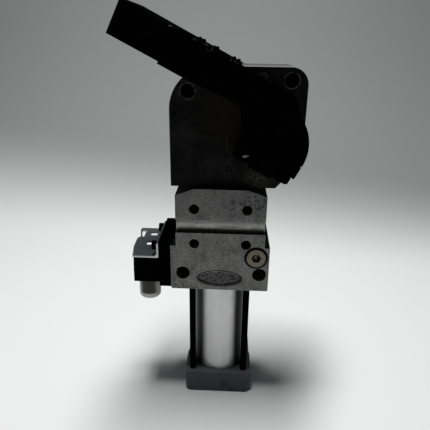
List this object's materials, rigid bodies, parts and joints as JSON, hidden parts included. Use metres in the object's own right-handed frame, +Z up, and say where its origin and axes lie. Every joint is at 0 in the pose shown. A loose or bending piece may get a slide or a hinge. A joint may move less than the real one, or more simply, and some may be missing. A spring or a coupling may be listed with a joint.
{
  "type": "pneumatic gripper",
  "caption": "Enclosed toggle gripper: a forked clamp arm on a square shaft, a split head case, a mounting block, a tie-rod air cylinder and a side position sensor.",
  "frame": {"origin": "centre of the end cap's bottom face, on the cylinder's axis", "axes": "+Z up the cylinder towards the head, -Y out of the front face with the port plug, +X towards the arm's pivot"},
  "size_m": [0.1525, 0.083, 0.3544],
  "materials": {
    "dark_anodised": "satin",
    "tube_aluminium": "drawn, satin",
    "black_steel": "black oxide",
    "block_aluminium": "shot blasted",
    "case_cast": "rough cast, dark coat",
    "arm_paint": "black paint, chipped",
    "zinc_sheet": "zinc plated",
    "black_plastic": "moulded",
    "cap_plastic": "translucent",
    "bronze": "turned",
    "bright_steel": "ground",
    "dark_steel": "machined",
    "seal_rubber": "moulded",
    "plug_bronze": "dull, oxidised"
  },
  "bodies": {
    "frame": {"end_cap": "dark_anodised", "end_bumper": "seal_rubber", "cylinder_tube": "tube_aluminium", "tube_seals": "seal_rubber", "tie_rods": "black_steel", "tie_rod_nuts": "black_steel", "mount_block": "block_aluminium", "rod_gland": "bronze", "rod_seals": "seal_rubber", "port_plug": "plug_bronze", "plug_seal": "seal_rubber", "badge_plate": "block_aluminium", "case_front": "case_cast", "case_rear": "case_cast", "case_gasket": "seal_rubber", "case_screws": "black_steel", "case_dowels": "bright_steel", "neck_screws": "black_steel", "lube_screw": "dark_steel", "guide_rails": "dark_steel", "shaft_bushes": "bronze", "shaft_seals": "seal_rubber", "sensor_plate": "black_plastic", "sensor_probes": "bronze", "sensor_housing": "black_plastic", "sensor_bracket": "zinc_sheet", "bracket_screws": "black_steel", "sensor_connector": "bright_steel", "connector_pins": "bronze", "dust_cap": "cap_plastic", "thrust_washers": "bronze"},
    "rod": {"piston": "tube_aluminium", "piston_seals": "seal_rubber", "guide_ring": "bronze", "magnet_ring": "dark_steel", "piston_nut": "dark_steel", "piston_rod": "bright_steel", "rod_clevis": "dark_steel", "clevis_locknut": "dark_steel", "clevis_pin": "bright_steel", "guide_rollers": "bright_steel", "pin_clips": "dark_steel"},
    "arm": {"pivot_shaft": "arm_paint", "crank_plates": "dark_steel", "crank_keys": "bright_steel", "crank_pin": "bright_steel", "clamp_arm": "arm_paint", "arm_caps": "arm_paint", "arm_cap_screws": "black_steel", "arm_cap_washers": "black_steel"},
    "link": {"toggle_link": "dark_steel", "link_bush": "bronze"}
  },
  "joints": [
    {"name": "arm_swing", "type": "hinge", "parent": "frame", "child": "arm", "pos_m": [0.0395, 0, 0.248], "axis": [0, 1, 0], "range_deg": [0, 90]},
    {"name": "rod_slide", "type": "slide", "parent": "frame", "child": "rod", "axis": [0, 0, 1], "range_m": [0, 0.0399]},
    {"name": "link_swing", "type": "hinge", "parent": "arm", "child": "link", "pos_m": [0.01783, 0, 0.25182], "axis": [0, 1, 0], "range_deg": [-54.36, 0]}
  ],
  "couplings": [
    {"joint": "rod_slide", "follows": "arm_swing", "m_per_rad": 0.025401},
    {"joint": "link_swing", "follows": "arm_swing", "ratio": -0.604}
  ]
}
